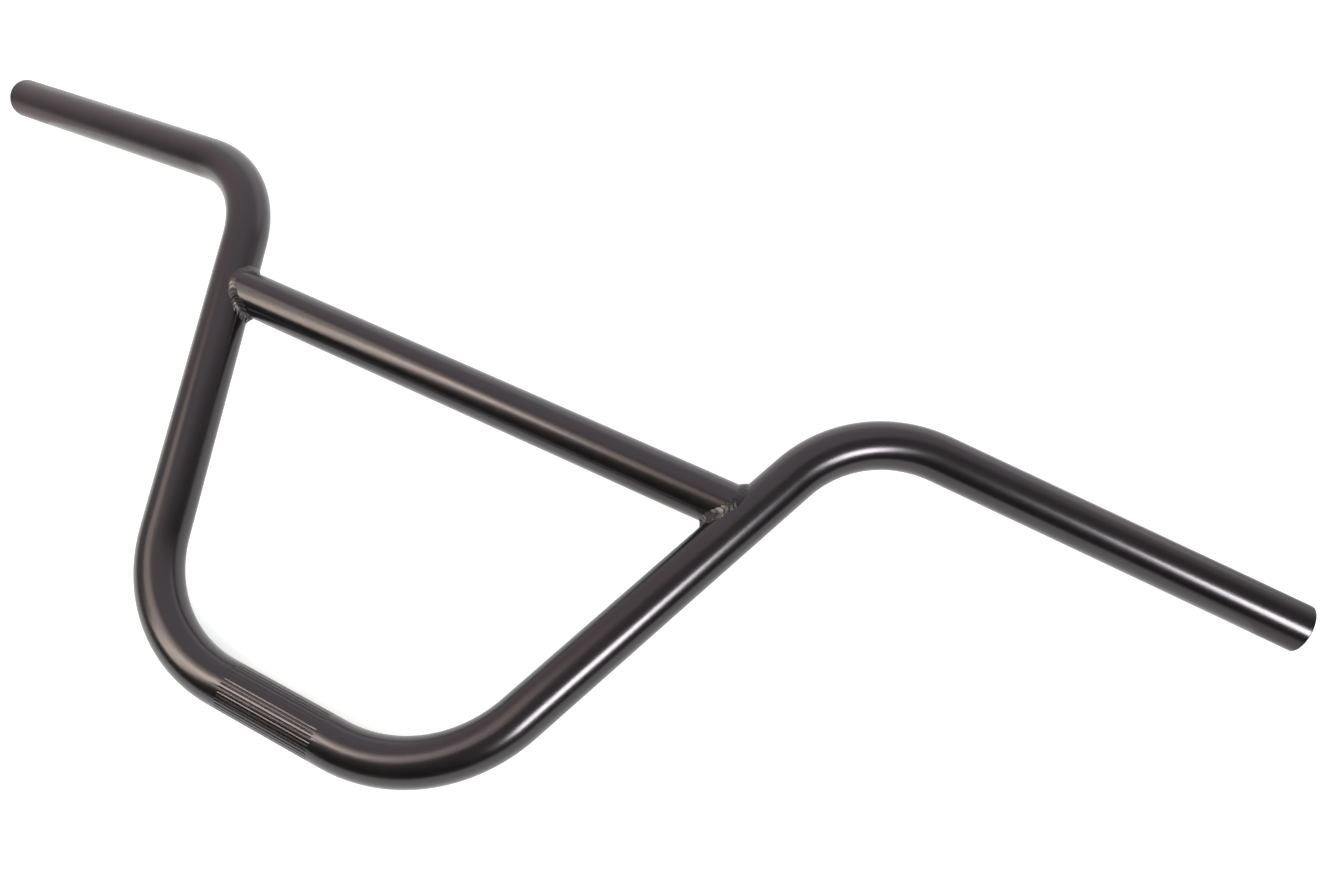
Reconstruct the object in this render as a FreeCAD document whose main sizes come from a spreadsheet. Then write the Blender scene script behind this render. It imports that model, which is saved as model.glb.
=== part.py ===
"""Two-tube BMX handlebar lying on its back, as a parametric document in millimetres.

One main tube runs grip, bend, upright, bend, clamp, bend, upright, bend, grip.
A straight cross tube is coped to the two uprights and welded to them all round.

The bar is drawn flat: X across the bar, Y up the rise and Z to the front, with the origin at the middle
of the clamp. It is then tipped about X until the clamp and the two bar ends lie on one level surface.
"""
import FreeCAD, Part
import Sketcher
import math
import os

Vector = FreeCAD.Vector

# Driving dimensions, in millimetres and degrees
SIZES = {
    # Main tube
    "tube_diameter": 22.2,
    "main_wall": 1.4,
    "clamp_straight": 61.0,
    "lower_bend_radius": 71.5,
    "upright_angle": 68.4,
    "rise": 230.4,
    "upper_bend_radius": 61.5,
    "backsweep": 12.0,
    "upsweep": 2.0,
    "bar_width": 760.0,
    "end_chamfer": 0.4,
    # Knurled band on the clamp, between two plain collars
    "clamp_collar": 5.5,
    "knurl_lines": 36,
    "knurl_depth": 0.3,
    "knurl_line_width": 0.9,
    # Cross tube
    "cross_diameter": 22.2,
    "cross_wall": 0.9,
    "cross_height": 168.0,
    "cope_trim": 4.5,
    # Weld beads: how far from the upright's middle they pass, their round, and how far they stand out
    # above the cross tube, below it, and at its front and back
    "bead_stand_off": 5.2,
    "bead_radius": 5.0,
    "upper_throat": 2.1,
    "lower_throat": 3.0,
    "bead_proud": 1.1,
}

doc = FreeCAD.newDocument("bmx_handlebar")
sheet = doc.addObject("Spreadsheet::Sheet", "sizes")
for row, (alias, value) in enumerate(SIZES.items(), start=1):
    sheet.set(f"B{row}", str(value))
    sheet.setAlias(f"B{row}", alias)
doc.recompute()


def size(alias):
    """The number in the sheet's cell of that name."""
    return float(sheet.get(alias))


def bind(thing, **expressions):
    """Tie properties of an object to the sheet."""
    for name, expression in expressions.items():
        thing.setExpression(name, expression)


# Places that follow from the sizes
upright_angle = math.radians(size("upright_angle"))
backsweep = math.radians(size("backsweep"))
upsweep = math.radians(size("upsweep"))
tube_radius = size("tube_diameter") / 2
lower_corner_x = size("clamp_straight") / 2 + size("lower_bend_radius") * math.tan(upright_angle / 2)
upper_corner_x = lower_corner_x + size("rise") / math.tan(upright_angle)
cross_end_x = lower_corner_x + size("cross_height") / math.tan(upright_angle)
upright_way = Vector(math.cos(upright_angle), math.sin(upright_angle), 0)
grip_way = Vector(
    math.cos(upsweep) * math.cos(backsweep),
    math.sin(upsweep) * math.cos(backsweep),
    -math.sin(backsweep),
)
knurl_end = Vector(size("clamp_straight") / 2 - size("clamp_collar"), 0, 0)
lower_corner = Vector(lower_corner_x, 0, 0)
upper_corner = Vector(upper_corner_x, size("rise"), 0)
grip_length = (size("bar_width") / 2 - upper_corner_x) / grip_way.x
bar_end = upper_corner + grip_way * grip_length


def mirrored(point):
    """The same point on the other side of the bar."""
    return Vector(-point.x, point.y, point.z)


TILT_STEPS = 50


def resting_tilt():
    """How far the bar tips about X, in degrees, until the bar ends come down to the clamp's level.

    A bar end rests on the rim where its chamfer starts. The rim's lowest point is below its centre by
    the radius times the cosine of the grip's slope, and the clamp's by the whole radius.
    """
    rim = bar_end - grip_way * size("end_chamfer")
    tilt = 0.0
    for _ in range(TILT_STEPS):
        slope = grip_way.y * math.sin(tilt) + grip_way.z * math.cos(tilt)
        rim_height = tube_radius * (math.sqrt(1 - slope**2) - 1)
        reach = math.hypot(rim.y, rim.z)
        tilt = math.asin(rim_height / reach) - math.atan2(rim.z, rim.y)
    return math.degrees(tilt)


lying = FreeCAD.Placement(Vector(0, 0, 0), FreeCAD.Rotation(Vector(1, 0, 0), resting_tilt()))


def bent_path(corners, radii):
    """One wire of straight runs joined by tangent arcs, with a radius for each inner corner.

    A corner of no radius is a plain joint between two runs in line.
    """
    edges = []
    start = corners[0]
    for before, corner, after, radius in zip(corners, corners[1:], corners[2:], radii):
        if radius == 0:
            edges.append(Part.LineSegment(start, corner).toShape())
            start = corner
            continue
        arriving = (corner - before).normalize()
        leaving = (after - corner).normalize()
        turn = arriving.getAngle(leaving)
        setback = radius * math.tan(turn / 2)
        inward = (leaving - arriving).normalize()
        bend_start = corner - arriving * setback
        bend_end = corner + leaving * setback
        bend_middle = corner + inward * (radius / math.cos(turn / 2) - radius)
        edges.append(Part.LineSegment(start, bend_start).toShape())
        edges.append(Part.Arc(bend_start, bend_middle, bend_end).toShape())
        start = bend_end
    edges.append(Part.LineSegment(start, corners[-1]).toShape())
    return Part.Wire(edges)


# Main tube: a ring carried along the bent path, then chamfered ends and a knurled band
bar_path = doc.addObject("Part::Feature", "bar_path")
right_corners = [knurl_end, lower_corner, upper_corner, bar_end]
right_radii = [0, size("lower_bend_radius"), size("upper_bend_radius")]
bar_path.Shape = bent_path(
    [mirrored(corner) for corner in reversed(right_corners)] + right_corners,
    right_radii[::-1] + right_radii,
)


def section_place():
    """Where the section starts, at the left bar end, turned so that its seam misses the knurl's lines.

    At the clamp the seam lies half a line's pitch round from the front. From there it is carried back
    through the left-hand bends to the bar end.
    """
    along_clamp = Vector(1, 0, 0)
    along_upright = mirrored(lower_corner) - mirrored(upper_corner)
    along_grip = mirrored(upper_corner) - mirrored(bar_end)
    half_pitch = math.pi / size("knurl_lines")
    seam = Vector(0, math.sin(half_pitch), math.cos(half_pitch))
    seam = FreeCAD.Rotation(along_clamp, along_upright).multVec(seam)
    seam = FreeCAD.Rotation(along_upright, along_grip).multVec(seam)
    turned = FreeCAD.Rotation(seam, along_grip.cross(seam), along_grip, "ZXY")
    return FreeCAD.Placement(mirrored(bar_end), turned)


def swept_round(name, radius):
    """A solid round of that radius along the bar's path."""
    circle = doc.addObject("Part::Circle", f"{name}_circle")
    bind(circle, Radius=radius)
    circle.Placement = section_place()
    sweep = doc.addObject("Part::Sweep", name)
    sweep.Sections = [circle]
    sweep.Spine = (bar_path, [f"Edge{number + 1}" for number in range(len(bar_path.Shape.Edges))])
    sweep.Solid = True
    return sweep


# Unrefined, so that the knurled stretch keeps faces of its own between the collars
main_tube_blank = doc.addObject("Part::Cut", "main_tube_blank")
main_tube_blank.Refine = False
main_tube_blank.Base = swept_round("main_tube_outside", "sizes.tube_diameter / 2")
main_tube_blank.Tool = swept_round("main_tube_inside", "sizes.tube_diameter / 2 - sizes.main_wall")
doc.recompute()

main_tube = doc.addObject("PartDesign::Body", "main_tube")
main_tube.BaseFeature = main_tube_blank
doc.recompute()
origin_feature = {feature.Role: feature for feature in main_tube.Origin.OriginFeatures}


def rim_edges(shape):
    """Names of the rims at both bar ends, outside and inside."""
    ends = [bar_end, mirrored(bar_end)]
    near = size("main_wall") / 2
    return [
        f"Edge{number}"
        for number, edge in enumerate(shape.Edges, start=1)
        if edge.Closed and any((edge.CenterOfMass - end).Length < near for end in ends)
    ]


plain_ends = main_tube.Tip
end_chamfers = main_tube.newObject("PartDesign::Chamfer", "end_chamfers")
end_chamfers.Base = (plain_ends, rim_edges(plain_ends.Shape))
end_chamfers.Refine = False
bind(end_chamfers, Size="sizes.end_chamfer")
doc.recompute()

knurl_line = main_tube.newObject("Sketcher::SketchObject", "knurl_line")
knurl_line.AttachmentSupport = (origin_feature["YZ_Plane"], [""])
knurl_line.MapMode = "FlatFace"
root = Vector(0, tube_radius - size("knurl_depth"), 0)
mouth_left = Vector(-size("knurl_line_width") / 2, tube_radius, 0)
mouth_right = Vector(size("knurl_line_width") / 2, tube_radius, 0)
for start, end in ((root, mouth_right), (mouth_right, mouth_left), (mouth_left, root)):
    knurl_line.addGeometry(Part.LineSegment(start, end))
for line, next_line in ((0, 1), (1, 2), (2, 0)):
    knurl_line.addConstraint(Sketcher.Constraint("Coincident", line, 2, next_line, 1))
# The line's section is an even V: -1, 1 is the sketch's own origin
knurl_line.addConstraint(Sketcher.Constraint("Horizontal", 1))
knurl_line.addConstraint(Sketcher.Constraint("Equal", 0, 2))
knurl_line.addConstraint(Sketcher.Constraint("Vertical", -1, 1, 0, 1))
driven = {
    "mouth_width": (("Distance", 1), size("knurl_line_width"), "sizes.knurl_line_width"),
    "mouth_height": (("DistanceY", -1, 1, 1, 1), tube_radius, "sizes.tube_diameter / 2"),
    "root_height": (("DistanceY", -1, 1, 0, 1), root.y, "sizes.tube_diameter / 2 - sizes.knurl_depth"),
}
for name, (what, value, expression) in driven.items():
    number = knurl_line.addConstraint(Sketcher.Constraint(*what, value))
    knurl_line.renameConstraint(number, name)
    knurl_line.setExpression(f"Constraints.{name}", expression)
doc.recompute()

knurl_cut = main_tube.newObject("PartDesign::Pocket", "knurl_cut")
knurl_cut.Profile = knurl_line
knurl_cut.SideType = "Symmetric"
knurl_cut.Refine = False
bind(knurl_cut, Length="sizes.clamp_straight - 2 * sizes.clamp_collar")
doc.recompute()

knurl = main_tube.newObject("PartDesign::PolarPattern", "knurl")
knurl.Originals = [knurl_cut]
knurl.Axis = (origin_feature["X_Axis"], [""])
knurl.Angle = 360
knurl.Refine = False
bind(knurl, Occurrences="sizes.knurl_lines")
main_tube.Tip = knurl
main_tube.Placement = lying
doc.recompute()

# Cross tube: a straight tube whose ends are coped to the uprights, with the feather edge trimmed off
CROSS_END_X = (
    "(sizes.clamp_straight / 2 + sizes.lower_bend_radius * tan(sizes.upright_angle / 2)"
    " + sizes.cross_height / tan(sizes.upright_angle) - sizes.cope_trim)"
)


def cross_round(name, radius):
    """A solid round of that radius along the cross tube."""
    stock = doc.addObject("Part::Cylinder", name)
    bind(stock, Radius=radius, Height=f"2 * {CROSS_END_X}")
    stock.Placement = FreeCAD.Placement(
        Vector(size("cope_trim") - cross_end_x, size("cross_height"), 0),
        FreeCAD.Rotation(Vector(0, 0, 1), Vector(1, 0, 0)),
    )
    return stock


def upright_round(name, foot, way):
    """A solid round where an upright runs straight."""
    stock = doc.addObject("Part::Cylinder", name)
    bind(stock, Radius="sizes.tube_diameter / 2", Height="sizes.rise / sin(sizes.upright_angle)")
    stock.Placement = FreeCAD.Placement(foot, FreeCAD.Rotation(Vector(0, 0, 1), way))
    return stock


right_upright = upright_round("right_upright", lower_corner, upright_way)
left_upright = upright_round("left_upright", mirrored(lower_corner), mirrored(upright_way))
cross_outside = cross_round("cross_outside", "sizes.cross_diameter / 2")
cross_inside = cross_round("cross_inside", "sizes.cross_diameter / 2 - sizes.cross_wall")

cross_blank = doc.addObject("Part::Cut", "cross_blank")
cross_blank.Base = cross_outside
cross_blank.Tool = cross_inside
uprights = doc.addObject("Part::Fuse", "uprights")
uprights.Base = left_upright
uprights.Tool = right_upright
cross_tube = doc.addObject("Part::Cut", "cross_tube")
cross_tube.Base = cross_blank
cross_tube.Tool = uprights
cross_tube.Placement = lying
doc.recompute()


# Weld beads: a round carried along each joint line, less the two tubes
CORNERS_PER_HALF = 4
SHARE_OF_A_RUN = 0.49


def bead_corner(turn):
    """A corner of the right-hand bead's path, for a turn round the cross tube from its top.

    The corners stand round the joint line, so that the arcs between them touch it. The line keeps
    bead_stand_off clear of the upright's middle at the front and back. From the line the path sinks into
    the metal, so that the bead stands out by a throat above and below, and by bead_proud at the front and
    back.
    """
    spread = 1 / math.cos(math.pi / CORNERS_PER_HALF / 2)
    cross_radius = size("cross_diameter") / 2
    up = cross_radius * math.cos(turn)
    front = cross_radius * math.sin(turn)
    beside = -math.sqrt(max(tube_radius**2 - front**2, 0) + size("bead_stand_off") ** 2)
    across = (beside + up * upright_way.x) / upright_way.y
    off_cross = Vector(0, math.cos(turn), math.sin(turn))
    off_upright = Vector(beside * upright_way.y, -beside * upright_way.x, front).normalize()
    outward = (off_cross + off_upright).normalize()
    throat = size("upper_throat") if up > 0 else size("lower_throat")
    proud = throat + (size("bead_proud") - throat) * math.sin(turn) ** 2
    point = Vector(cross_end_x + across, size("cross_height") + up * spread, front * spread)
    return point - outward * (size("bead_radius") - proud)


def bead_round():
    """The right-hand bead before the tubes are taken out of it.

    Its front half runs from the bar's middle plane above the cross tube to that plane below it. The back
    half mirrors it.
    """
    turns = [math.pi * (number + 0.5) / CORNERS_PER_HALF for number in range(CORNERS_PER_HALF)]
    corners = [bead_corner(turn) for turn in turns]
    top = Vector(corners[0].x, corners[0].y, 0)
    foot = Vector(corners[-1].x, corners[-1].y, 0)
    before_top = Vector(top.x, top.y, -corners[0].z)
    after_foot = Vector(foot.x, foot.y, -corners[-1].z)
    whole_runs = [before_top] + corners + [after_foot]
    radii = []
    for before, corner, after in zip(whole_runs, whole_runs[1:], whole_runs[2:]):
        turn = (corner - before).getAngle(after - corner)
        shorter_run = min((corner - before).Length, (after - corner).Length)
        radii.append(SHARE_OF_A_RUN * shorter_run / math.tan(turn / 2))
    path = bent_path([top] + corners + [foot], radii)
    section = Part.Wire(Part.makeCircle(size("bead_radius"), top, Vector(0, 0, 1)))
    front_half = path.makePipeShell([section], True, False)
    back_half = front_half.mirror(Vector(0, 0, 0), Vector(0, 0, 1))
    return front_half.fuse(back_half)


def weld_bead(name, bead, upright):
    """A bead that lies against an upright and the cross tube."""
    weld = doc.addObject("Part::Feature", name)
    weld.Shape = bead.cut([upright.Shape, cross_outside.Shape]).Solids[0]
    weld.Placement = lying
    return weld


right_bead = bead_round()
left_bead = right_bead.mirror(Vector(0, 0, 0), Vector(1, 0, 0))
right_weld_bead = weld_bead("right_weld_bead", right_bead, right_upright)
left_weld_bead = weld_bead("left_weld_bead", left_bead, left_upright)
doc.recompute()

for thing in doc.Objects:
    if "Invalid" in thing.State or "Error" in thing.State:
        raise RuntimeError(f"{thing.Label} did not build: {thing.State}")

sub_parts = [main_tube, cross_tube, left_weld_bead, right_weld_bead]
for sub_part in sub_parts:
    if sub_part.Shape.isNull() or not sub_part.Shape.isValid():
        raise RuntimeError(f"{sub_part.Label} has no valid shape")

os.makedirs("parts", exist_ok=True)
for sub_part in sub_parts:
    sub_part.Shape.exportStep(f"parts/{sub_part.Label}.step")
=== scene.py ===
"""Looks of a two-tube BMX handlebar in satin black paint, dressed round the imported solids.

The bar is worked out flat, with X across it, Y up its rise and Z to its front, and then tipped about X
into the pose in which it lies. All lengths are in metres.
"""

import bpy
import numpy as np
from mathutils import Matrix, Quaternion, Vector


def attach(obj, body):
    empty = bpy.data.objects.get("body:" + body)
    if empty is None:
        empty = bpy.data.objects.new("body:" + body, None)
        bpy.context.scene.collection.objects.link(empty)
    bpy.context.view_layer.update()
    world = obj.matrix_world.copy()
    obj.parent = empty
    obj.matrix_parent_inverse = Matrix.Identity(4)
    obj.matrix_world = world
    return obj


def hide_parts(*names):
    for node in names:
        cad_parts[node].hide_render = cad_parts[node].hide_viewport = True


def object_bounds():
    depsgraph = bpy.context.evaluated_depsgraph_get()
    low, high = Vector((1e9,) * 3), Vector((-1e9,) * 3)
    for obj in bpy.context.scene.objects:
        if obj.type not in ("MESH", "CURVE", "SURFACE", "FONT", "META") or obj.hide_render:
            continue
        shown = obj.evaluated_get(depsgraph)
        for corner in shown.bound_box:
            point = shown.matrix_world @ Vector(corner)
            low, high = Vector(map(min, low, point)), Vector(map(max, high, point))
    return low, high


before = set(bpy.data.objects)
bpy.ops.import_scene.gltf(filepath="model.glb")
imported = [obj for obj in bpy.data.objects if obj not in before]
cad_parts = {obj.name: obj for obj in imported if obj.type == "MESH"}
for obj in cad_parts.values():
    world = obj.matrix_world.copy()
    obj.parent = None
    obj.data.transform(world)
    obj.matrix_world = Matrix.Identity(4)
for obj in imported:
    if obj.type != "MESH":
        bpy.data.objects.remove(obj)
CAD_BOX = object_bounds()
BODY = "root"
FULL_TURN = 2 * np.pi

# The bar's sizes
TUBE_RADIUS = 0.0111
MAIN_WALL = 0.0014
CLAMP_STRAIGHT = 0.061
LOWER_BEND_RADIUS = 0.0715
UPRIGHT_ANGLE = np.radians(68.4)
RISE = 0.2304
UPPER_BEND_RADIUS = 0.0615
BACKSWEEP = np.radians(12.0)
UPSWEEP = np.radians(2.0)
BAR_HALF_WIDTH = 0.380
LYING_TILT = np.radians(10.554458)

KNURL_LENGTH = 0.050
KNURL_LINES = 36
KNURL_DEPTH = 0.0003
KNURL_LINE_WIDTH = 0.0009
KNURL_RUN_OUT = 0.0009

CROSS_RADIUS = 0.0111
CROSS_WALL = 0.0009
CROSS_HEIGHT = 0.168

WELD_STAND_OFF = 0.0075
WELD_COVER = 0.0010

# Directions and places that follow from the sizes, on the right-hand half
ACROSS = np.array([1.0, 0.0, 0.0])
RISING = np.array([0.0, 1.0, 0.0])
FRONT = np.array([0.0, 0.0, 1.0])
UPRIGHT_WAY = np.array([np.cos(UPRIGHT_ANGLE), np.sin(UPRIGHT_ANGLE), 0.0])
GRIP_WAY = np.array([
    np.cos(UPSWEEP) * np.cos(BACKSWEEP),
    np.sin(UPSWEEP) * np.cos(BACKSWEEP),
    -np.sin(BACKSWEEP),
])
UPPER_TURN = np.arccos(UPRIGHT_WAY @ GRIP_WAY)
INTO_UPPER_BEND = GRIP_WAY - (GRIP_WAY @ UPRIGHT_WAY) * UPRIGHT_WAY
INTO_UPPER_BEND = INTO_UPPER_BEND / np.linalg.norm(INTO_UPPER_BEND)
UPPER_BEND_AXIS = np.cross(UPRIGHT_WAY, INTO_UPPER_BEND)

LOWER_SETBACK = LOWER_BEND_RADIUS * np.tan(UPRIGHT_ANGLE / 2)
UPPER_SETBACK = UPPER_BEND_RADIUS * np.tan(UPPER_TURN / 2)
LOWER_CORNER_X = CLAMP_STRAIGHT / 2 + LOWER_SETBACK
UPPER_CORNER_X = LOWER_CORNER_X + RISE / np.tan(UPRIGHT_ANGLE)
CROSS_END_X = LOWER_CORNER_X + CROSS_HEIGHT / np.tan(UPRIGHT_ANGLE)
UPRIGHT_RUN = RISE / np.sin(UPRIGHT_ANGLE) - LOWER_SETBACK - UPPER_SETBACK
GRIP_RUN = (BAR_HALF_WIDTH - UPPER_CORNER_X) / GRIP_WAY[0] - UPPER_SETBACK

# Distances along the tube from the clamp's middle, where each stretch ends
CLAMP_END = CLAMP_STRAIGHT / 2
LOWER_BEND_END = CLAMP_END + LOWER_BEND_RADIUS * UPRIGHT_ANGLE
UPRIGHT_END = LOWER_BEND_END + UPRIGHT_RUN
UPPER_BEND_END = UPRIGHT_END + UPPER_BEND_RADIUS * UPPER_TURN
BAR_END = UPPER_BEND_END + GRIP_RUN


def lie_down(points):
    """Points of the flat bar tipped about X: y' = y cos t - z sin t, z' = y sin t + z cos t."""
    cosine, sine = np.cos(LYING_TILT), np.sin(LYING_TILT)
    x, y, z = np.moveaxis(points, -1, 0)
    return np.stack([x, y * cosine - z * sine, y * sine + z * cosine], axis=-1)


def scaled(amounts, way):
    """Each amount times one direction."""
    return amounts[..., None] * way


def unit(vectors):
    """Vectors at length 1."""
    return vectors / np.linalg.norm(vectors, axis=-1, keepdims=True)


def swings(place, start, waves):
    """Sum of sine waves: for each wave, its height times sin(rate times place + share times start)."""
    return sum(height * np.sin(rate * place + share * start) for height, rate, share in waves)


def bar_line(distance):
    """Centre, direction and front of the main tube at signed distances from the clamp's middle.

    The centre is the sum of what each stretch has run so far: a straight run r adds r times its
    direction, and a bend of radius R that has turned by a adds R sin a ahead and R (1 - cos a) inwards.
    The front turns with the upper bend. The left half mirrors the right.
    """
    run = np.abs(distance)
    clamp = np.clip(run, 0, CLAMP_END)
    lower = np.clip((run - CLAMP_END) / LOWER_BEND_RADIUS, 0, UPRIGHT_ANGLE)
    upright = np.clip(run - LOWER_BEND_END, 0, UPRIGHT_RUN)
    upper = np.clip((run - UPRIGHT_END) / UPPER_BEND_RADIUS, 0, UPPER_TURN)
    grip = np.clip(run - UPPER_BEND_END, 0, None)
    centre = (
        scaled(clamp + LOWER_BEND_RADIUS * np.sin(lower), ACROSS)
        + scaled(LOWER_BEND_RADIUS * (1 - np.cos(lower)), RISING)
        + scaled(upright + UPPER_BEND_RADIUS * np.sin(upper), UPRIGHT_WAY)
        + scaled(UPPER_BEND_RADIUS * (1 - np.cos(upper)), INTO_UPPER_BEND)
        + scaled(grip, GRIP_WAY)
    )
    before_upper = scaled(np.cos(lower), ACROSS) + scaled(np.sin(lower), RISING)
    in_upper = scaled(np.cos(upper), UPRIGHT_WAY) + scaled(np.sin(upper), INTO_UPPER_BEND)
    along = np.where((upper > 0)[..., None], in_upper, before_upper)
    inwards = scaled(np.cos(upper), INTO_UPPER_BEND) - scaled(np.sin(upper), UPRIGHT_WAY)
    front = (FRONT @ INTO_UPPER_BEND) * inwards + (FRONT @ UPPER_BEND_AXIS) * UPPER_BEND_AXIS
    left = (distance < 0)[..., None]
    centre = np.where(left, centre * [-1, 1, 1], centre)
    along = np.where(left, along * [1, -1, -1], along)
    front = np.where(left, front * [-1, 1, 1], front)
    return centre, along, front


def wrapped_quads(rows, columns):
    """Corner numbers of the quads of a grid that closes on itself both ways."""
    row, column = np.meshgrid(np.arange(rows), np.arange(columns), indexing="ij")
    next_row = (row + 1) % rows
    next_column = (column + 1) % columns
    corners = [
        row * columns + column,
        next_row * columns + column,
        next_row * columns + next_column,
        row * columns + next_column,
    ]
    return np.stack(corners, axis=-1).reshape(-1, 4)


def closed_surface(name, points, material, node):
    """A smooth piece from a grid of points that closes on itself both ways, in place of a CAD node."""
    rows, columns = points.shape[:2]
    quads = wrapped_quads(rows, columns)
    mesh = bpy.data.meshes.new(name)
    mesh.vertices.add(rows * columns)
    mesh.vertices.foreach_set("co", lie_down(points).astype(np.float32).ravel())
    mesh.loops.add(quads.size)
    mesh.loops.foreach_set("vertex_index", quads.astype(np.int32).ravel())
    mesh.polygons.add(len(quads))
    mesh.polygons.foreach_set("loop_start", np.arange(0, quads.size, 4, dtype=np.int32))
    mesh.polygons.foreach_set("use_smooth", np.ones(len(quads), dtype=bool))
    mesh.update(calc_edges=True)
    mesh.validate()
    mesh.materials.append(material)
    piece = bpy.data.objects.new(name, mesh)
    bpy.context.scene.collection.objects.link(piece)
    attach(piece, BODY)
    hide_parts(node)


# Main tube
CREASE = 0.00004
KNURL_STEP = 0.006
RUN_OUT_STEPS = 3
STRAIGHT_STEP = 0.05
BEND_STEP = np.radians(2.4)
EDGE_HOLD = 0.0005
RIM_ROUND = 0.0004
RIM_STEPS = 6
KNURL_MEAN_DEPTH = 0.78
KNURL_UNEVENNESS = ((0.22, 2.4, 0), (0.12, 5.1, 1))
KNURL_UNEVENNESS_START = 0.8


def between(start, end, step):
    """Even places from start up to, and without, end, no further apart than step."""
    return np.linspace(start, end, max(1, int(np.ceil((end - start) / step))), endpoint=False)


def half_stations(clamp):
    """Distances of the sections from the clamp's middle to the bar end, close together in the bends.

    Those on the clamp are given. Each bend has a station just before and just after it, so that the
    shading of the straights stays even.
    """
    grip_end = BAR_END - RIM_ROUND - EDGE_HOLD
    return np.concatenate([
        clamp,
        [CLAMP_END - EDGE_HOLD],
        between(CLAMP_END, LOWER_BEND_END, LOWER_BEND_RADIUS * BEND_STEP),
        [LOWER_BEND_END, LOWER_BEND_END + EDGE_HOLD],
        between(LOWER_BEND_END + 2 * EDGE_HOLD, UPRIGHT_END - EDGE_HOLD, STRAIGHT_STEP),
        [UPRIGHT_END - EDGE_HOLD],
        between(UPRIGHT_END, UPPER_BEND_END, UPPER_BEND_RADIUS * BEND_STEP),
        [UPPER_BEND_END, UPPER_BEND_END + EDGE_HOLD],
        between(UPPER_BEND_END + 2 * EDGE_HOLD, grip_end, STRAIGHT_STEP),
        [grip_end],
    ])


def knurl_stations():
    """Distances of the sections on half the knurl, close together where its lines run out."""
    knurl_end = KNURL_LENGTH / 2
    full_depth_end = knurl_end - KNURL_RUN_OUT
    return np.concatenate([
        between(0, full_depth_end, KNURL_STEP),
        between(full_depth_end, knurl_end, KNURL_RUN_OUT / RUN_OUT_STEPS),
        [knurl_end],
    ])


def both_halves(half):
    """The stations of the left half, reversed, and then of the right half."""
    return np.concatenate([-half[:0:-1], half])


def rim_section():
    """Distance back from the bar end and radius, round the right-hand rim from outside to bore.

    Each edge is a quarter round, (R (1 - sin a), R (1 - cos a)) from the outside to the end face and the
    same in mirror image from the face to the bore.
    """
    quarter = np.linspace(0, np.pi / 2, RIM_STEPS)
    back = RIM_ROUND * (1 - np.sin(quarter))
    in_from_wall = RIM_ROUND * (1 - np.cos(quarter))
    outer = np.stack([back, TUBE_RADIUS - in_from_wall], axis=-1)
    inner = np.stack([back, TUBE_RADIUS - MAIN_WALL + in_from_wall], axis=-1)[::-1]
    return np.concatenate([outer, inner])


def turns_round():
    """Turns of the columns round the main tube, set close on either side of each knurl line's creases."""
    pitch = TUBE_RADIUS * FULL_TURN / KNURL_LINES
    edge = KNURL_LINE_WIDTH / 2
    land = (pitch / 2 - edge) / 2
    offsets = np.array([
        -edge - land,
        -edge - CREASE,
        -edge + CREASE,
        -CREASE,
        CREASE,
        edge - CREASE,
        edge + CREASE,
        edge + land,
    ])
    return (np.arange(KNURL_LINES)[:, None] * pitch + offsets).ravel() / TUBE_RADIUS


def knurl_grooves(distance, turn):
    """How deep the knurl is at each distance and turn.

    Each line is a V: depth times 1 - |offset| / half width, never under 0. It runs out over a short
    length at both ends of the band. Lines differ in depth, as a pressed knurl's do.
    """
    pitch = FULL_TURN / KNURL_LINES
    number = np.round(turn / pitch)
    offset = np.abs(turn - number * pitch) * TUBE_RADIUS
    groove = np.clip(1 - offset / (KNURL_LINE_WIDTH / 2), 0, 1)
    own_depth = KNURL_MEAN_DEPTH + swings(number, KNURL_UNEVENNESS_START, KNURL_UNEVENNESS)
    into_band = KNURL_LENGTH / 2 - np.abs(distance)
    run_out = np.clip(into_band / KNURL_RUN_OUT, 0, 1)
    return KNURL_DEPTH * groove * own_depth * run_out


def main_tube_points():
    """Grid of the main tube, with a row for each station and a column for each turn round the tube.

    The rows go out along the outside, round a rim, back along the bore and round the other rim. A point
    is centre + r (cos turn front + sin turn side), with r the outside's radius less the knurl, the rim's,
    or the bore's.
    """
    turn = turns_round()
    outside = both_halves(half_stations(knurl_stations()))
    bore = both_halves(half_stations([0.0]))[::-1]
    rim = rim_section()
    distance = np.concatenate([outside, BAR_END - rim[:, 0], bore, rim[::-1, 0] - BAR_END])
    radius = np.concatenate([
        np.full(len(outside), TUBE_RADIUS),
        rim[:, 1],
        np.full(len(bore), TUBE_RADIUS - MAIN_WALL),
        rim[::-1, 1],
    ])
    centre, along, front = bar_line(distance)
    side = np.cross(front, along)
    depth = knurl_grooves(distance[:, None], turn[None, :])
    depth[len(outside):] = 0
    reach = (radius[:, None] - depth)[..., None]
    round_way = (
        np.cos(turn)[None, :, None] * front[:, None, :] + np.sin(turn)[None, :, None] * side[:, None, :]
    )
    return centre[:, None, :] + reach * round_way


# Cross tube
CROSS_TURNS = 128
CROSS_STATIONS = 12
TUCK_DEPTH = 0.0005
TUCK_RUN = 0.0012


def cope(turn, radius):
    """How far from the bar's middle the cross tube's end lies, at each turn from its top.

    A line along the cross tube would meet the upright's round at (up cos A - sqrt(R^2 - front^2)) / sin A
    past the crossing of the two centre lines. The end stands off from there, with the stand-off squared
    added under the root, so that it has no sharp corner, and the weld covers its last stretch.
    """
    up = radius * np.cos(turn)
    front = radius * np.sin(turn)
    beside = np.sqrt(np.clip(TUBE_RADIUS ** 2 - front ** 2, 0, None) + WELD_STAND_OFF ** 2)
    return CROSS_END_X + (up * UPRIGHT_WAY[0] - beside) / UPRIGHT_WAY[1] + WELD_COVER


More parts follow.
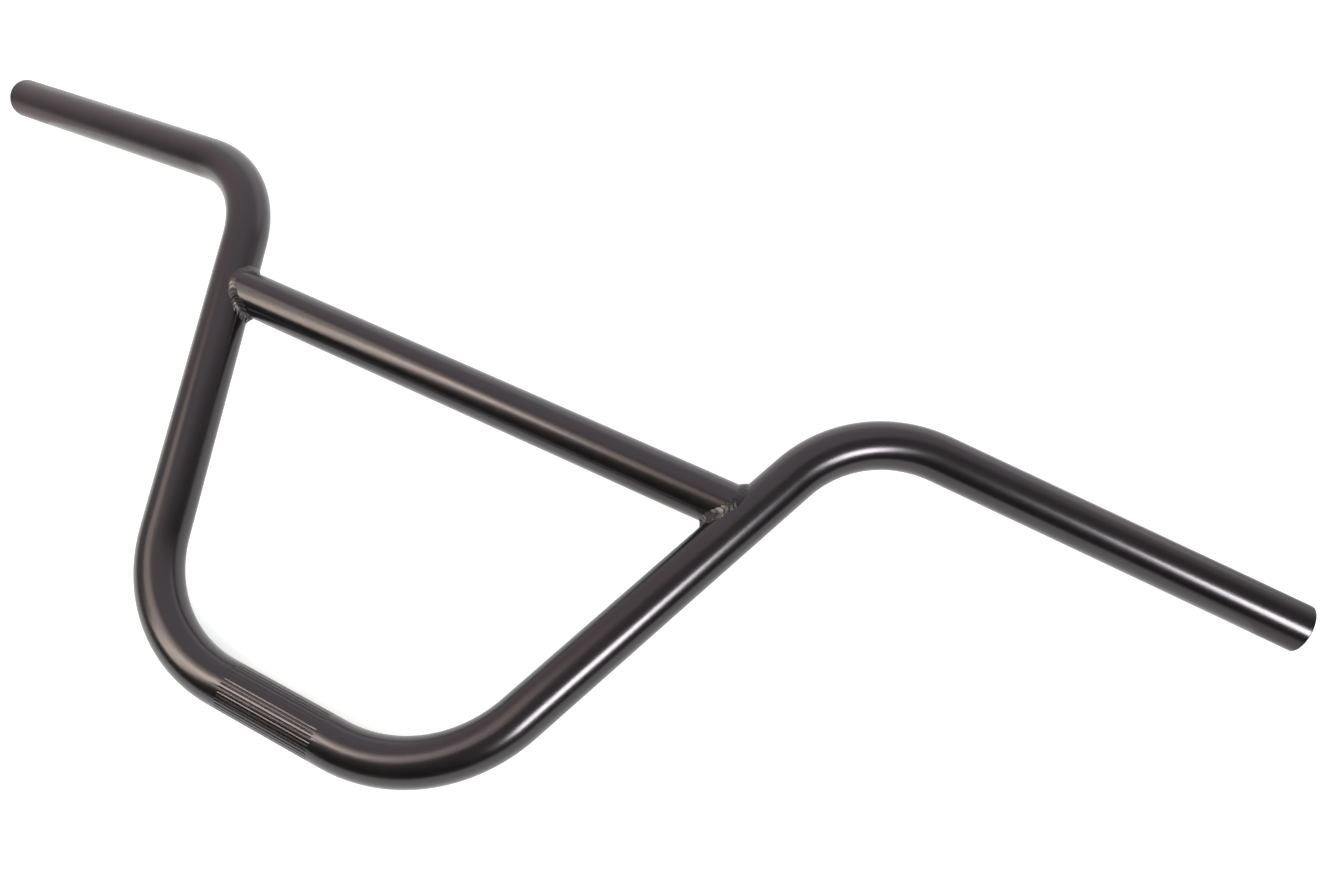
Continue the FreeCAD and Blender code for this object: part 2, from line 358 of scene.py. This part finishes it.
def cross_tube_points():
    """Grid of the cross tube: rows out along the outside and back along the bore, columns round it.

    A point is (share times the cope less a step back, height + r cos turn, r sin turn), with share from 1
    to -1. The outside draws in by the tuck over its last stretch, so that its end hides under the weld.
    """
    turn = np.arange(CROSS_TURNS) * FULL_TURN / CROSS_TURNS
    share = np.linspace(1, -1, CROSS_STATIONS)
    full_step = np.full(CROSS_STATIONS, TUCK_RUN + EDGE_HOLD)
    no_tuck = np.zeros(CROSS_STATIONS)
    outside_share = np.concatenate([[1, 1], share, [-1, -1]])[:, None]
    step_back = np.concatenate([[0, TUCK_RUN], full_step, [TUCK_RUN, 0]])[:, None]
    tuck = np.concatenate([[TUCK_DEPTH, 0], no_tuck, [0, TUCK_DEPTH]])[:, None]
    bore_radius = CROSS_RADIUS - CROSS_WALL
    across = np.concatenate([
        outside_share * (cope(turn, CROSS_RADIUS) - step_back),
        share[::-1, None] * cope(turn, bore_radius),
    ])
    radius = np.concatenate([CROSS_RADIUS - tuck, np.full((CROSS_STATIONS, 1), bore_radius)])
    return np.stack([across, CROSS_HEIGHT + radius * np.cos(turn), radius * np.sin(turn)], axis=-1)


# Weld beads
WELD_STATIONS = 840
WELD_FACE_POINTS = 44
WELD_BACK_POINTS = 8
WIDTH_IN_FRONT = 0.0034
WIDTH_ABOVE = 0.0042
WIDTH_BELOW = 0.0056
WIDTH_UNEVENNESS = ((0.07, 5, 1), (0.06, 13, 2.3))
LAP_IN_FRONT = 0.0005
LAP_BELOW = 0.0018
CROWN_IN_FRONT = 0.0002
CROWN_ABOVE = 0.0003
CROWN_BELOW = -0.0007
TOE_SINK = 0.00015
ROOT_DEPTH = 0.0014

# Ripples of the welds
RIPPLES_ROUND_A_WELD = 40
RIPPLE_HEIGHT = 0.00058
RIPPLE_WANDER = ((0.40, 3, 1), (0.14, 8, 2.1))
RIPPLE_BOW = 0.9
PUDDLE_FRONT = 0.18
PUDDLE_BACK_POWER = 1.3
PUDDLE_MEAN_HEIGHT = 0.68
PUDDLE_UNEVENNESS = ((0.32, 2.4, 3),)
PUDDLE_BEAT = 1.1
BOLDNESS_ABOVE = 0.3
LEFT_WELD_START = 0.4
RIGHT_WELD_START = 2.9


def round_the_weld(turn, in_front, above, below):
    """A size that goes from one value in front and behind to others above and below.

    It is corner + (in front - corner) sin^2 turn, with corner the value above or below.
    """
    corner = np.where(np.cos(turn) > 0, above, below)
    return (corner + (in_front - corner) * np.sin(turn) ** 2)[:, None]


def ripple(run, face, turn, start):
    """How far the weld's ripples stand out, along the weld and across its face.

    Each puddle is a crescent: a steep front, the sine of its phase, and a long back, 1 - phase to a power.
    It is bowed, so that the phase lags by the square of the distance from the crown. The puddles differ
    in height and wander in length, are bold below and in front, and run smooth over the top.
    """
    wander = swings(turn, start, RIPPLE_WANDER)
    phase = RIPPLES_ROUND_A_WELD * run + wander - RIPPLE_BOW * (2 * face - 1) ** 2
    puddle = np.floor(phase)
    phase = phase - puddle
    back_phase = np.clip((phase - PUDDLE_FRONT) / (1 - PUDDLE_FRONT), 0, 1)
    shape = np.where(
        phase < PUDDLE_FRONT,
        np.sin(phase / PUDDLE_FRONT * np.pi / 2),
        (1 - back_phase) ** PUDDLE_BACK_POWER,
    )
    own_height = PUDDLE_MEAN_HEIGHT + swings(puddle, start, PUDDLE_UNEVENNESS) * np.cos(PUDDLE_BEAT * puddle)
    bold = BOLDNESS_ABOVE + (1 - BOLDNESS_ABOVE) * np.clip(1 - np.cos(turn), 0, 1)
    return RIPPLE_HEIGHT * shape * own_height * bold


def right_weld_points(start):
    """Grid of a weld: rows along the joint of the tubes, columns across its face and back underneath.

    The weld's line runs on the cross tube, off the upright as the tube's end does. On either side of it a
    toe is set on a tube: the place a width or a lap away, moved straight in or out to the tube's round.
    The face is the chord between the toes raised by 4 s (1 - s) times the crown, with the ripples, and the
    back is the same chord lowered to the root.
    """
    turn = np.arange(WELD_STATIONS) * FULL_TURN / WELD_STATIONS
    up = CROSS_RADIUS * np.cos(turn)
    front = CROSS_RADIUS * np.sin(turn)
    beside = -np.sqrt(np.clip(TUBE_RADIUS ** 2 - front ** 2, 0, None) + WELD_STAND_OFF ** 2)
    across = (beside + up * UPRIGHT_WAY[0]) / UPRIGHT_WAY[1]
    line = np.stack([CROSS_END_X + across, CROSS_HEIGHT + up, front], axis=-1)
    step = np.linalg.norm(np.roll(line, -1, axis=0) - line, axis=-1)
    run = np.cumsum(step) / step.sum()
    off_cross = np.stack([np.zeros_like(turn), np.cos(turn), np.sin(turn)], axis=-1)
    off_upright = unit(np.stack([beside * UPRIGHT_WAY[1], -beside * UPRIGHT_WAY[0], front], axis=-1))
    ahead = unit(np.roll(line, -1, axis=0) - np.roll(line, 1, axis=0))
    outward = unit(off_cross + off_upright)
    outward = unit(outward - (outward * ahead).sum(axis=-1, keepdims=True) * ahead)
    to_upright = np.cross(outward, ahead)

    unsteady = 1 + swings(turn, start, WIDTH_UNEVENNESS)[:, None]
    width = round_the_weld(turn, WIDTH_IN_FRONT, WIDTH_ABOVE, WIDTH_BELOW) * unsteady
    lap = round_the_weld(turn, LAP_IN_FRONT, LAP_IN_FRONT, LAP_BELOW) * unsteady
    crown = round_the_weld(turn, CROWN_IN_FRONT, CROWN_ABOVE, CROWN_BELOW)
    sunk = TUBE_RADIUS - TOE_SINK
    on_cross = line - to_upright * lap
    cross_axis = on_cross * [1, 0, 0] + [0, CROSS_HEIGHT, 0]
    cross_toe = cross_axis + sunk * unit(on_cross - cross_axis)
    on_upright = line + to_upright * width
    crossing = np.array([CROSS_END_X, CROSS_HEIGHT, 0])
    upright_axis = crossing + scaled((on_upright - crossing) @ UPRIGHT_WAY, UPRIGHT_WAY)
    upright_toe = upright_axis + sunk * unit(on_upright - upright_axis)

    face = np.linspace(0, 1, WELD_FACE_POINTS)
    arch = 4 * face * (1 - face)
    raised = crown * arch + ripple(run[:, None], face[None, :], turn[:, None], start) * np.sqrt(arch)
    back = np.linspace(1, 0, WELD_BACK_POINTS + 2)[1:-1]
    lowered = np.broadcast_to(-ROOT_DEPTH * 4 * back * (1 - back), (WELD_STATIONS, WELD_BACK_POINTS))
    share = np.concatenate([face, back])[None, :, None]
    height = np.concatenate([raised, lowered], axis=1)[..., None]
    chord = cross_toe[:, None, :] * (1 - share) + upright_toe[:, None, :] * share
    return chord + height * outward[:, None, :]


def left_weld_points(start):
    """The right-hand weld's form mirrored, with its columns turned round so that it faces outwards."""
    return (right_weld_points(start) * [-1, 1, 1])[:, ::-1]


# Paint, with each noise given by its features per metre and its detail
PAINT_IOR = 1.5
GLOSS_LEVEL = 0.65
GLOSS_TINT = (1.0, 0.89, 0.985)
CLOUD_NOISE = (55, 3)
CLOUD_RANGE = (0.35, 0.68)
GLOSS_NOISE = (240, 4)
GLOSS_RANGE = (0.3, 0.7)
PEEL_NOISE = (900, 2)
GRAIN_NOISE = (5200, 2)
PEEL_TO_GRAIN_DEPTH = 20


def new_material(name):
    """A node material, with its nodes and links."""
    material = bpy.data.materials.new(name)
    material.use_nodes = True
    return material, material.node_tree.nodes, material.node_tree.links


def noise(nodes, links, place, scale, detail):
    """A noise texture on object coordinates, in features per metre."""
    texture = nodes.new("ShaderNodeTexNoise")
    texture.inputs["Scale"].default_value = scale
    texture.inputs["Detail"].default_value = detail
    links.new(place.outputs["Object"], texture.inputs["Vector"])
    return texture.outputs["Fac"]


def spread(nodes, links, source, source_range, low, high):
    """A number from one range spread over another, low to high."""
    ranged = nodes.new("ShaderNodeMapRange")
    ranged.inputs["From Min"].default_value = source_range[0]
    ranged.inputs["From Max"].default_value = source_range[1]
    ranged.inputs["To Min"].default_value = low
    ranged.inputs["To Max"].default_value = high
    links.new(source, ranged.inputs["Value"])
    return ranged


def bump(nodes, links, height, depth):
    """A bump of that depth, in metres, from a number from 0 to 1."""
    bumped = nodes.new("ShaderNodeBump")
    bumped.inputs["Strength"].default_value = 1.0
    bumped.inputs["Distance"].default_value = depth
    links.new(height, bumped.inputs["Height"])
    return bumped


def satin_black(name, dark, light, smooth, rough, peel_depth):
    """Satin black paint: cloudy black colour, uneven gloss, orange peel and a fine grain."""
    material, nodes, links = new_material(name)
    shader = nodes["Principled BSDF"]
    place = nodes.new("ShaderNodeTexCoord")
    ramp = nodes.new("ShaderNodeValToRGB")
    for element, position, colour in zip(ramp.color_ramp.elements, CLOUD_RANGE, (dark, light)):
        element.position = position
        element.color = (*colour, 1)
    links.new(noise(nodes, links, place, *CLOUD_NOISE), ramp.inputs["Fac"])
    links.new(ramp.outputs["Color"], shader.inputs["Base Color"])
    gloss = spread(nodes, links, noise(nodes, links, place, *GLOSS_NOISE), GLOSS_RANGE, smooth, rough)
    links.new(gloss.outputs["Result"], shader.inputs["Roughness"])
    peel = bump(nodes, links, noise(nodes, links, place, *PEEL_NOISE), peel_depth)
    grain = bump(nodes, links, noise(nodes, links, place, *GRAIN_NOISE), peel_depth / PEEL_TO_GRAIN_DEPTH)
    links.new(peel.outputs["Normal"], grain.inputs["Normal"])
    links.new(grain.outputs["Normal"], shader.inputs["Normal"])
    shader.inputs["IOR"].default_value = PAINT_IOR
    shader.inputs["Specular IOR Level"].default_value = GLOSS_LEVEL
    shader.inputs["Specular Tint"].default_value = (*GLOSS_TINT, 1)
    return material


tube_paint = satin_black(
    "satin_black_tube_paint",
    dark=(0.0034, 0.0030, 0.0032),
    light=(0.0056, 0.0049, 0.0051),
    smooth=0.22,
    rough=0.25,
    peel_depth=0.000004,
)
weld_paint = satin_black(
    "satin_black_weld_paint",
    dark=(0.0048, 0.0043, 0.0045),
    light=(0.0090, 0.0081, 0.0081),
    smooth=0.22,
    rough=0.34,
    peel_depth=0.000010,
)

closed_surface("main_tube_painted", main_tube_points(), tube_paint, "main_tube")
closed_surface("cross_tube_painted", cross_tube_points(), tube_paint, "cross_tube")
closed_surface(
    "left_weld_bead_rippled",
    left_weld_points(LEFT_WELD_START),
    weld_paint,
    "left_weld_bead",
)
closed_surface(
    "right_weld_bead_rippled",
    right_weld_points(RIGHT_WELD_START),
    weld_paint,
    "right_weld_bead",
)

# Camera, as the bar is seen in the photograph
SENSOR_WIDTH = 36.0
LENS = 32.4252
CLIP_START = 0.01
EYE = (0.239884, -0.074818, 0.494439)
VIEW_RIGHT = (0.883023, 0.468877, -0.020600)
VIEW_UP = (-0.385554, 0.749732, 0.537820)
VIEW_BACK = (0.267616, -0.466965, 0.842808)

camera_data = bpy.data.cameras.new("camera")
camera_data.sensor_width = SENSOR_WIDTH
camera_data.lens = LENS
camera_data.clip_start = CLIP_START
camera = bpy.data.objects.new("camera", camera_data)
axes = Matrix((VIEW_RIGHT, VIEW_UP, VIEW_BACK)).transposed()
camera.matrix_world = Matrix.Translation(EYE) @ axes.to_4x4()
bpy.context.scene.collection.objects.link(camera)
bpy.context.scene.camera = camera

# Studio
STUDIO_MIDDLE = np.array([0.0, 0.12, 0.02])
FLOOR_HEIGHT = CAD_BOX[0].z
FLOOR_HALF = 6.0
FLOOR_COLOUR = (0.53, 0.55, 0.57)
FLOOR_LIFT = 0.76
LIFT_RISES_FROM = 0.6
LIFT_FULL_FROM = 1.6
ROOM_LIGHT = 0.22
WHITE = 1.0


def seen_directly(nodes, links):
    """1 for camera, glossy and transmission rays, and 0 for the rest."""
    path = nodes.new("ShaderNodeLightPath")
    total = path.outputs["Is Camera Ray"]
    for name in ("Is Glossy Ray", "Is Transmission Ray"):
        adding = nodes.new("ShaderNodeMath")
        adding.operation = "ADD"
        adding.use_clamp = True
        links.new(total, adding.inputs[0])
        links.new(path.outputs[name], adding.inputs[1])
        total = adding.outputs["Value"]
    return total


def floor_material():
    """A pale floor that takes shadows, lifted to white where it is seen directly.

    The lift rises from its value at the bar to a full white far from it.
    """
    material, nodes, links = new_material("pale_floor")
    nodes.clear()
    diffuse = nodes.new("ShaderNodeBsdfDiffuse")
    diffuse.inputs["Color"].default_value = (*FLOOR_COLOUR, 1)
    place = nodes.new("ShaderNodeTexCoord")
    distance = nodes.new("ShaderNodeVectorMath")
    distance.operation = "LENGTH"
    links.new(place.outputs["Object"], distance.inputs[0])
    lift_range = (LIFT_RISES_FROM, LIFT_FULL_FROM)
    lift = spread(nodes, links, distance.outputs["Value"], lift_range, FLOOR_LIFT, WHITE)
    lift.interpolation_type = "SMOOTHSTEP"
    lifting = nodes.new("ShaderNodeMath")
    lifting.operation = "MULTIPLY"
    links.new(seen_directly(nodes, links), lifting.inputs[0])
    links.new(lift.outputs["Result"], lifting.inputs[1])
    glow = nodes.new("ShaderNodeEmission")
    links.new(lifting.outputs["Value"], glow.inputs["Strength"])
    both = nodes.new("ShaderNodeAddShader")
    links.new(diffuse.outputs["BSDF"], both.inputs[0])
    links.new(glow.outputs["Emission"], both.inputs[1])
    output = nodes.new("ShaderNodeOutputMaterial")
    links.new(both.outputs["Shader"], output.inputs["Surface"])
    return material


def painted_reflection_material():
    """A painted reflection: a sheet that gives back the light stored on its mesh as glow."""
    material, nodes, links = new_material("painted_reflection_drape")
    nodes.clear()
    stored = nodes.new("ShaderNodeAttribute")
    stored.attribute_name = "glow"
    glow = nodes.new("ShaderNodeEmission")
    links.new(stored.outputs["Color"], glow.inputs["Color"])
    output = nodes.new("ShaderNodeOutputMaterial")
    links.new(glow.outputs["Emission"], output.inputs["Surface"])
    return material


def open_grid(name, points, material):
    """A stage piece from a grid of points."""
    rows, columns = points.shape[:2]
    row, column = np.meshgrid(np.arange(rows - 1), np.arange(columns - 1), indexing="ij")
    first = row * columns + column
    quads = np.stack([first, first + columns, first + columns + 1, first + 1], axis=-1).reshape(-1, 4)
    mesh = bpy.data.meshes.new(name)
    mesh.from_pydata(points.reshape(-1, 3).tolist(), [], quads.tolist())
    mesh.materials.append(material)
    piece = bpy.data.objects.new(name, mesh)
    bpy.context.scene.collection.objects.link(piece)
    return piece


def direction(azimuth, elevation):
    """Unit direction for angles in degrees: azimuth from +Y towards +X, elevation above the floor."""
    a, e = np.radians(azimuth), np.radians(elevation)
    return np.stack([np.sin(a) * np.cos(e), np.cos(a) * np.cos(e), np.sin(e)], axis=-1)


floor_edges = np.array([-FLOOR_HALF, FLOOR_HALF])
floor_x, floor_y = np.meshgrid(floor_edges, floor_edges, indexing="ij")
floor_points = np.stack([floor_x, floor_y, np.full_like(floor_x, FLOOR_HEIGHT)], axis=-1)
open_grid("floor", floor_points, floor_material())

# A sheet over and behind the camera, with a skirt over the floor round the bar, which only gloss sees. Its
# glow is a painted reflection: dark in most directions, and light at its sides, towards its top and next to
# the bar.
DRAPE_RADIUS = 2.6
DRAPE_AZIMUTHS = (20, 295)
DRAPE_COLUMNS = 56
DOME_ROWS = 18
SKIRT_ROWS = 24
SKIRT_RADIUS = 0.38
SKIRT_DARK_RADIUS = 0.62
SKIRT_LIFT = 0.0002
# Glow and colours of the painted reflection: dim over most of the sheet, lighter towards its top, pinker on
# its left.
PAINTED_REFLECTION_GLOW = 0.04
PAINTED_REFLECTION_TOP_GLOW = 0.35
DRAPE_TOP_FADE = (0.3, 1.0)
PAINTED_REFLECTION_COLOUR = np.array([1.0, 0.975, 0.97])
PAINTED_REFLECTION_LEFT_COLOUR = np.array([1.0, 0.86, 0.87])
DRAPE_RIGHT_FADE = (25, 65)
DRAPE_LEFT_FADE = (217, 295)


def smooth_step(value, start, end):
    """0 before start, 1 after end, and 3 s^2 - 2 s^3 between them."""
    share = np.clip((value - start) / (end - start), 0, 1)
    return share ** 2 * (3 - 2 * share)


def drape_points_and_painted_reflection():
    """Grid of the drape, azimuths by a profile that runs out over the floor and up a dome, and its glow.

    The glow is a painted reflection for the tubes to mirror. The skirt's glow falls from 1 to the drape's
    own, and the dome's rises a little towards its top. On both sides the glow rises to 1, so that the drape
    has no edge against the white room. Its colour, a painted tint of that reflection, goes from one to
    another towards the left side.
    """
    azimuth = np.linspace(*DRAPE_AZIMUTHS, DRAPE_COLUMNS)[:, None]
    skirt = np.linspace(SKIRT_RADIUS, DRAPE_RADIUS, SKIRT_ROWS)
    dome = np.radians(np.linspace(0, 90, DOME_ROWS))
    reach = np.concatenate([skirt, DRAPE_RADIUS * np.cos(dome)])
    height = np.concatenate([np.full_like(skirt, FLOOR_HEIGHT + SKIRT_LIFT), DRAPE_RADIUS * np.sin(dome)])
    level = direction(azimuth, np.zeros_like(azimuth)) * [1, 1, 0]
    points = STUDIO_MIDDLE * [1, 1, 0] + reach[None, :, None] * level
    points[..., 2] = height
    skirt_glow = 1 + (PAINTED_REFLECTION_GLOW - 1) * smooth_step(skirt, SKIRT_RADIUS, SKIRT_DARK_RADIUS)
    dome_glow = PAINTED_REFLECTION_GLOW + (PAINTED_REFLECTION_TOP_GLOW - PAINTED_REFLECTION_GLOW) * smooth_step(np.sin(dome), *DRAPE_TOP_FADE)
    along_profile = np.concatenate([skirt_glow, dome_glow])[None, :]
    to_right = 1 - smooth_step(azimuth, *DRAPE_RIGHT_FADE)
    to_left = smooth_step(azimuth, *DRAPE_LEFT_FADE)
    glow = along_profile + (1 - along_profile) * (to_right + to_left)
    colour = PAINTED_REFLECTION_COLOUR + (PAINTED_REFLECTION_LEFT_COLOUR - PAINTED_REFLECTION_COLOUR) * to_left[..., None]
    return points, glow[..., None] * colour


# The painted reflection is stored as a colour on the sheet's points, and only glossy rays see it.
drape_points, painted_reflection_glow = drape_points_and_painted_reflection()
drape = open_grid("painted_reflection_drape", drape_points, painted_reflection_material())
opaque = np.ones(painted_reflection_glow.shape[:2] + (1,))
glow_colours = np.concatenate([painted_reflection_glow, opaque], axis=-1)
stored_glow = drape.data.attributes.new("glow", "FLOAT_COLOR", "POINT")
stored_glow.data.foreach_set("color", glow_colours.astype(np.float32).ravel())
drape.visible_camera = False
drape.visible_diffuse = False
drape.visible_transmission = False
drape.visible_shadow = False

# Lamps
WARM = (1.0, 0.94, 0.77)
COOL = (0.94, 1.0, 0.95)
NEUTRAL = (1.0, 0.985, 0.97)


def softbox(name, azimuth, elevation, distance, roll, width, height, radiance, colour):
    """A rectangular lamp that faces the bar, rolled about the line between them.

    Angles are in degrees. Its watts are pi times its area times its radiance.
    """
    data = bpy.data.lights.new(name, "AREA")
    data.shape = "RECTANGLE"
    data.size = width
    data.size_y = height
    data.energy = np.pi * width * height * radiance
    data.color = colour
    lamp = bpy.data.objects.new(name, data)
    place = Vector(STUDIO_MIDDLE + distance * direction(azimuth, elevation))
    facing = (place - Vector(STUDIO_MIDDLE)).to_track_quat("Z", "Y")
    lamp.location = place
    lamp.rotation_mode = "QUATERNION"
    lamp.rotation_quaternion = facing @ Quaternion((0, 0, 1), np.radians(roll))
    lamp.visible_camera = False
    bpy.context.scene.collection.objects.link(lamp)


softbox(
    "left_softbox", azimuth=-133.0, elevation=40.3, distance=1.19, roll=-1,
    width=0.28, height=0.91, radiance=8.0, colour=WARM,
)
softbox(
    "left_high_softbox", azimuth=-111.5, elevation=49.9, distance=2.5, roll=37,
    width=2.19, height=1.37, radiance=2.2, colour=WARM,
)
softbox(
    "overhead_softbox", azimuth=-143.0, elevation=64.0, distance=1.07, roll=0,
    width=0.48, height=0.44, radiance=2.0, colour=WARM,
)
softbox(
    "right_softbox", azimuth=117.4, elevation=33.0, distance=2.18, roll=-15,
    width=0.58, height=0.64, radiance=31.0, colour=COOL,
)
softbox(
    "back_softbox", azimuth=-11.0, elevation=14.0, distance=1.52, roll=-2,
    width=2.60, height=0.73, radiance=0.5, colour=NEUTRAL,
)

# Room, white where it is seen directly and dimmer as a light
world = bpy.data.worlds.new("studio")
bpy.context.scene.world = world
world.use_nodes = True
world_nodes, world_links = world.node_tree.nodes, world.node_tree.links
room = world_nodes["Background"]
room.inputs["Color"].default_value = (1, 1, 1, 1)
seen = seen_directly(world_nodes, world_links)
room_strength = spread(world_nodes, world_links, seen, (0, 1), ROOM_LIGHT, WHITE)
world_links.new(room_strength.outputs["Result"], room.inputs["Strength"])

bpy.context.scene.view_settings.view_transform = "Standard"
